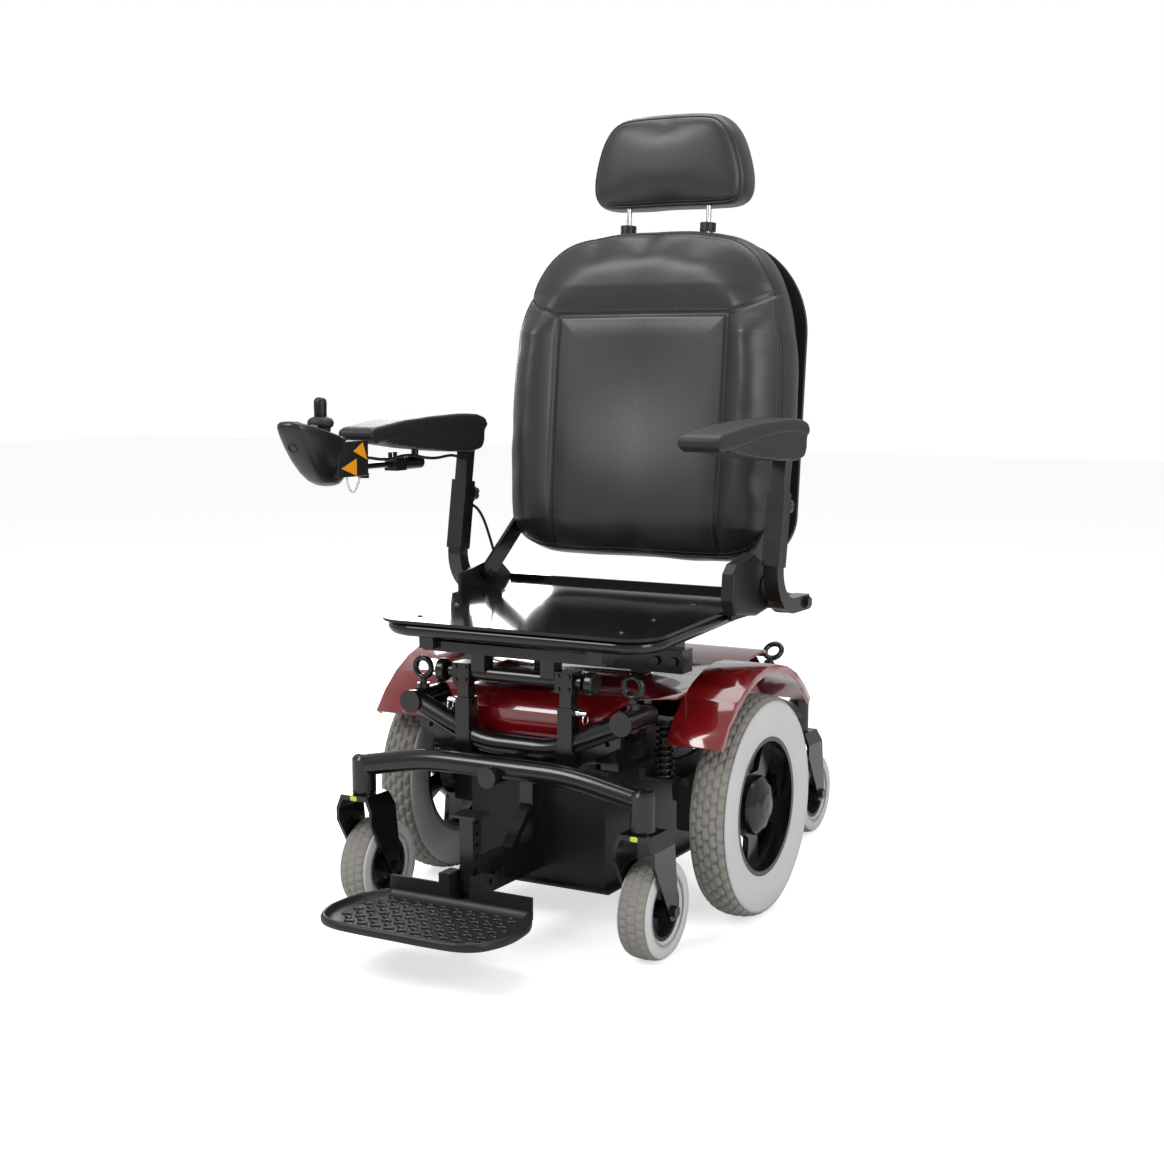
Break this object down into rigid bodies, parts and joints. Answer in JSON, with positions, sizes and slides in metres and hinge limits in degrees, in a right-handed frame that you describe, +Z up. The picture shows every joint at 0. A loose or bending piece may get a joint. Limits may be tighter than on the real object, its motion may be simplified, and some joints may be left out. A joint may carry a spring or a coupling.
{
  "type": "power wheelchair",
  "caption": "Mid-wheel-drive power wheelchair with captain's seat base, contoured back and headrest, flip-up armrests, armrest joystick and folding centre footplate.",
  "frame": {"origin": "on the floor, midway between the drive wheels and under their axle", "axes": "+X to the user's left, -Y the direction of travel, +Z up"},
  "size_m": [0.687, 1.18, 1.306],
  "materials": {
    "black_steel": "gloss",
    "seat_gloss": "high gloss",
    "black_plastic": "satin",
    "red_plastic": "high gloss",
    "grey_tyre": "matt, non-marking grey rubber",
    "vinyl": "grained vinyl, satin",
    "pad_foam": "matt self-skin foam",
    "chrome": "polished",
    "rubber": "matt"
  },
  "bodies": {
    "chassis": {"frame_rails": "black_steel", "front_cross_tube": "black_steel", "tie_down_eyes": "black_steel", "battery_box": "black_plastic", "batteries": "black_plastic", "control_module": "black_plastic", "shroud": "red_plastic", "seat_plate": "seat_gloss", "seat_frame": "black_steel", "seat_posts": "black_steel", "recline_covers": "black_steel", "arm_receiver": "black_steel", "footrest_column": "black_steel", "spring_left": "black_steel", "spring_right": "black_steel"},
    "front_beam": {"caster_beam": "black_steel"},
    "footrest": {"footplate": "black_plastic"},
    "backrest": {"back_cushion": "vinyl", "back_shell": "black_plastic", "back_brackets": "black_steel"},
    "headrest": {"headrest_pad": "vinyl", "headrest_posts": "chrome"},
    "slide_rod": {"joystick_rod": "black_steel", "chain": "chrome"},
    "pod": {"joystick_pod": "black_plastic"},
    "gimbal": {"joystick_gimbal": "black_plastic"},
    "stick": {"joystick_stick": "rubber"},
    "power_key": {"power_button": "black_plastic"},
    "horn_key": {"horn_button": "black_plastic"},
    "speed_key": {"speed_rocker": "black_plastic"},
    "drive_arm_left": {"drive_unit_left": "black_steel"},
    "drive_wheel_left": {"drive_tyre_left": "grey_tyre", "drive_rim_left": "black_steel"},
    "freewheel_left": {"freewheel_lever_left": "black_plastic"},
    "swivel_front_left": {"fork_front_left": "black_steel"},
    "caster_wheel_front_left": {"caster_front_left": "grey_tyre"},
    "swivel_rear_left": {"fork_rear_left": "black_steel"},
    "caster_wheel_rear_left": {"caster_rear_left": "grey_tyre"},
    "armrest_left": {"arm_tube_left": "black_steel"},
    "arm_upper_left": {"arm_post_left": "black_steel", "arm_pad_left": "pad_foam"},
    "arm_knob_body_left": {"arm_knob_left": "black_plastic"},
    "pin_left": {"release_pin_left": "chrome"},
    "drive_arm_right": {"drive_unit_right": "black_steel"},
    "drive_wheel_right": {"drive_tyre_right": "grey_tyre", "drive_rim_right": "black_steel"},
    "freewheel_right": {"freewheel_lever_right": "black_plastic"},
    "swivel_front_right": {"fork_front_right": "black_steel"},
    "caster_wheel_front_right": {"caster_front_right": "grey_tyre"},
    "swivel_rear_right": {"fork_rear_right": "black_steel"},
    "caster_wheel_rear_right": {"caster_rear_right": "grey_tyre"},
    "armrest_right": {"arm_tube_right": "black_steel", "arm_cable": "rubber"},
    "arm_upper_right": {"arm_post_right": "black_steel", "arm_pad_right": "pad_foam", "joystick_bracket": "black_steel", "rod_cable": "rubber"},
    "arm_knob_body_right": {"arm_knob_right": "black_plastic"},
    "pin_right": {"release_pin_right": "chrome"}
  },
  "joints": [
    {"name": "suspension_left", "type": "hinge", "parent": "chassis", "child": "drive_arm_left", "pos_m": [0, 0.1, 0.238], "axis": [-1, 0, 0], "range_deg": [0, 3.5], "stiffness_Nm_per_rad": 400, "springref_deg": -17.19, "deforming": ["spring_left"]},
    {"name": "drive_left", "type": "hinge", "parent": "drive_arm_left", "child": "drive_wheel_left", "pos_m": [0.286, 0, 0.1778], "axis": [1, 0, 0], "continuous": true},
    {"name": "freewheel_left", "type": "hinge", "parent": "drive_arm_left", "child": "freewheel_left", "pos_m": [0.222, -0.02, 0.224], "axis": [0, 0, -1], "range_deg": [0, 20]},
    {"name": "arm_flip_left", "type": "hinge", "parent": "chassis", "child": "armrest_left", "pos_m": [0.299, 0.157, 0.487], "axis": [-1, 0, 0], "range_deg": [0, 95]},
    {"name": "arm_height_left", "type": "slide", "parent": "armrest_left", "child": "arm_upper_left", "axis": [0, 0.165, 0.9863], "range_m": [-0.02, 0.05]},
    {"name": "pin_pull_left", "type": "slide", "parent": "chassis", "child": "pin_left", "axis": [1, 0, 0], "range_m": [0, 0.008], "stiffness_N_per_m": 900, "springref_m": -0.006},
    {"name": "suspension_right", "type": "hinge", "parent": "chassis", "child": "drive_arm_right", "pos_m": [0, 0.1, 0.238], "axis": [-1, 0, 0], "range_deg": [0, 3.5], "stiffness_Nm_per_rad": 400, "springref_deg": -17.19, "deforming": ["spring_right"]},
    {"name": "drive_right", "type": "hinge", "parent": "drive_arm_right", "child": "drive_wheel_right", "pos_m": [-0.286, 0, 0.1778], "axis": [1, 0, 0], "continuous": true},
    {"name": "freewheel_right", "type": "hinge", "parent": "drive_arm_right", "child": "freewheel_right", "pos_m": [-0.222, -0.02, 0.224], "axis": [0, 0, 1], "range_deg": [0, 20]},
    {"name": "arm_flip_right", "type": "hinge", "parent": "chassis", "child": "armrest_right", "pos_m": [-0.299, 0.157, 0.487], "axis": [-1, 0, 0], "range_deg": [0, 95]},
    {"name": "arm_height_right", "type": "slide", "parent": "armrest_right", "child": "arm_upper_right", "axis": [0, 0.165, 0.9863], "range_m": [-0.02, 0.05]},
    {"name": "pin_pull_right", "type": "slide", "parent": "chassis", "child": "pin_right", "axis": [-1, 0, 0], "range_m": [0, 0.008], "stiffness_N_per_m": 900, "springref_m": -0.006},
    {"name": "beam_roll", "type": "hinge", "parent": "chassis", "child": "front_beam", "pos_m": [0, -0.3087, 0.258], "axis": [0, 1, 0], "range_deg": [-5, 5]},
    {"name": "swivel_front_left", "type": "hinge", "parent": "front_beam", "child": "swivel_front_left", "pos_m": [0.249, -0.3087, 0.2], "axis": [0, 0, 1], "continuous": true},
    {"name": "roll_front_left", "type": "hinge", "parent": "swivel_front_left", "child": "caster_wheel_front_left", "pos_m": [0.249, -0.2737, 0.076], "axis": [1, 0, 0], "continuous": true},
    {"name": "swivel_rear_left", "type": "hinge", "parent": "chassis", "child": "swivel_rear_left", "pos_m": [0.172, 0.475, 0.2], "axis": [0, 0, 1], "continuous": true},
    {"name": "roll_rear_left", "type": "hinge", "parent": "swivel_rear_left", "child": "caster_wheel_rear_left", "pos_m": [0.172, 0.51, 0.076], "axis": [1, 0, 0], "continuous": true},
    {"name": "swivel_front_right", "type": "hinge", "parent": "front_beam", "child": "swivel_front_right", "pos_m": [-0.249, -0.3087, 0.2], "axis": [0, 0, 1], "continuous": true},
    {"name": "roll_front_right", "type": "hinge", "parent": "swivel_front_right", "child": "caster_wheel_front_right", "pos_m": [-0.249, -0.2737, 0.076], "axis": [1, 0, 0], "continuous": true},
    {"name": "swivel_rear_right", "type": "hinge", "parent": "chassis", "child": "swivel_rear_right", "pos_m": [-0.172, 0.475, 0.2], "axis": [0, 0, 1], "continuous": true},
    {"name": "roll_rear_right", "type": "hinge", "parent": "swivel_rear_right", "child": "caster_wheel_rear_right", "pos_m": [-0.172, 0.51, 0.076], "axis": [1, 0, 0], "continuous": true},
    {"name": "footplate_fold", "type": "hinge", "parent": "chassis", "child": "footrest", "pos_m": [0, -0.386, 0.116], "axis": [-1, 0, 0], "range_deg": [0, 85]},
    {"name": "back_recline", "type": "hinge", "parent": "chassis", "child": "backrest", "pos_m": [0, 0.055, 0.515], "axis": [1, 0, 0], "range_deg": [-12, 85]},
    {"name": "headrest_height", "type": "slide", "parent": "backrest", "child": "headrest", "axis": [0, 0.1045, 0.9945], "range_m": [0, 0.06]},
    {"name": "knob_turn_left", "type": "hinge", "parent": "armrest_left", "child": "arm_knob_body_left", "pos_m": [0.299, 0.07686, 0.652], "axis": [0, 0.9863, -0.165], "continuous": true},
    {"name": "knob_turn_right", "type": "hinge", "parent": "armrest_right", "child": "arm_knob_body_right", "pos_m": [-0.299, 0.07686, 0.652], "axis": [0, 0.9863, -0.165], "continuous": true},
    {"name": "joystick_slide", "type": "slide", "parent": "arm_upper_right", "child": "slide_rod", "axis": [0, -1, 0], "range_m": [0, 0.04]},
    {"name": "joystick_swing", "type": "hinge", "parent": "slide_rod", "child": "pod", "pos_m": [-0.341, -0.251, 0.711], "axis": [0, 0, -1], "range_deg": [0, 90]},
    {"name": "stick_pitch", "type": "hinge", "parent": "pod", "child": "gimbal", "pos_m": [-0.305, -0.332, 0.75825], "axis": [1, 0, 0], "range_deg": [-10, 10], "stiffness_Nm_per_rad": 0.6},
    {"name": "stick_roll", "type": "hinge", "parent": "gimbal", "child": "stick", "pos_m": [-0.305, -0.332, 0.75825], "axis": [0, 1, 0], "range_deg": [-10, 10], "stiffness_Nm_per_rad": 0.6},
    {"name": "power_press", "type": "slide", "parent": "pod", "child": "power_key", "axis": [0, -0.2588, -0.9659], "range_m": [0, 0.0015], "stiffness_N_per_m": 400, "springref_m": -0.001},
    {"name": "horn_press", "type": "slide", "parent": "pod", "child": "horn_key", "axis": [0, -0.2588, -0.9659], "range_m": [0, 0.0015], "stiffness_N_per_m": 400, "springref_m": -0.001},
    {"name": "speed_rock", "type": "hinge", "parent": "pod", "child": "speed_key", "pos_m": [-0.305, -0.39978, 0.78331], "axis": [0, 0.9659, -0.2588], "range_deg": [-5, 5], "stiffness_Nm_per_rad": 0.05}
  ]
}
